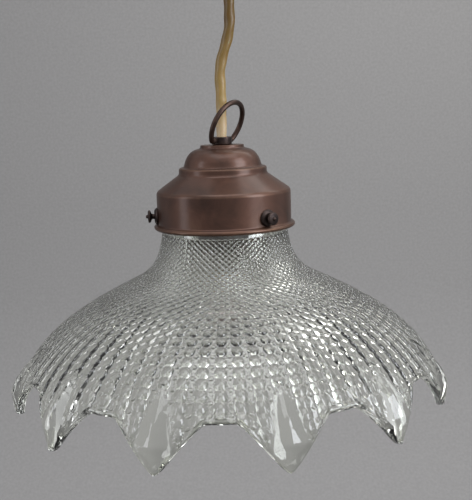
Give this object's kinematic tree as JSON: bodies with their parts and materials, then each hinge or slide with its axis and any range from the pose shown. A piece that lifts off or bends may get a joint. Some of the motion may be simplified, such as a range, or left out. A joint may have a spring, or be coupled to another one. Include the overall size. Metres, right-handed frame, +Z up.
{
  "type": "pendant ceiling light",
  "caption": "Pendant light: pressed-glass shade with a spear-point edge, held in a brass gallery under a ceiling rose.",
  "frame": {"origin": "on the lamp's vertical axis, in the plane of the ceiling", "axes": "+Z up, out of the rose into the ceiling; +X right and -Y front, as the lamp is seen in the picture"},
  "size_m": [0.2678, 0.2678, 0.2972],
  "materials": {
    "patinated_brass": "brown patina, satin",
    "blackened_brass": "blackened, satin",
    "bright_brass": "plain, lightly tarnished",
    "zinc_steel": "zinc plated",
    "pressed_glass": "clear, pressed in a bead pattern",
    "aged_flex": "aged, matt",
    "porcelain": "glazed",
    "bakelite": "moulded, polished",
    "brown_core": "extruded",
    "blue_core": "extruded"
  },
  "bodies": {
    "ceiling_rose": {"ceiling_plate": "zinc_steel", "rose_cover": "patinated_brass", "cover_screw_left": "blackened_brass", "cover_screw_right": "blackened_brass", "cord_grip": "patinated_brass", "cord_grip_nut": "zinc_steel", "grip_screw": "blackened_brass", "terminal_block": "porcelain", "terminal_block_screw": "zinc_steel", "terminal_screw_live": "bright_brass", "terminal_screw_neutral": "bright_brass", "rose_core_live": "brown_core", "rose_core_neutral": "blue_core"},
    "pendant": {"flex_cord": "aged_flex", "ring_collar": "blackened_brass", "gallery": "patinated_brass", "gallery_locknut": "zinc_steel", "screw_boss_1": "patinated_brass", "screw_boss_2": "patinated_brass", "screw_boss_3": "patinated_brass", "holder_cap": "bright_brass", "holder_core": "porcelain", "holder_contact": "bright_brass", "holder_screw_shell": "bright_brass", "holder_skirt": "bakelite", "holder_screw_live": "zinc_steel", "holder_screw_neutral": "zinc_steel", "lamp_core_live": "brown_core", "lamp_core_neutral": "blue_core", "glass_shade": "pressed_glass"},
    "bail": {"ring_bail": "blackened_brass"},
    "screw_1": {"thumbscrew_1": "blackened_brass"},
    "screw_2": {"thumbscrew_2": "blackened_brass"},
    "screw_3": {"thumbscrew_3": "blackened_brass"}
  },
  "joints": [
    {"name": "pendant_swing", "type": "hinge", "parent": "ceiling_rose", "child": "pendant", "pos_m": [0, 0, -0.045], "axis": [0, 1, 0], "range_deg": [-25, 25], "deforming": ["flex_cord"]},
    {"name": "bail_tilt", "type": "hinge", "parent": "pendant", "child": "bail", "pos_m": [0, 0, -0.1334], "axis": [0.5446, 0.8387, 0], "range_deg": [-10, 58]},
    {"name": "thumbscrew_1_travel", "type": "slide", "parent": "pendant", "child": "screw_1", "axis": [0.6157, -0.788, 0], "range_m": [0, 0.005]},
    {"name": "thumbscrew_2_travel", "type": "slide", "parent": "pendant", "child": "screw_2", "axis": [0.3746, 0.9272, 0], "range_m": [0, 0.005]},
    {"name": "thumbscrew_3_travel", "type": "slide", "parent": "pendant", "child": "screw_3", "axis": [-0.9903, -0.1392, 0], "range_m": [0, 0.005]}
  ]
}
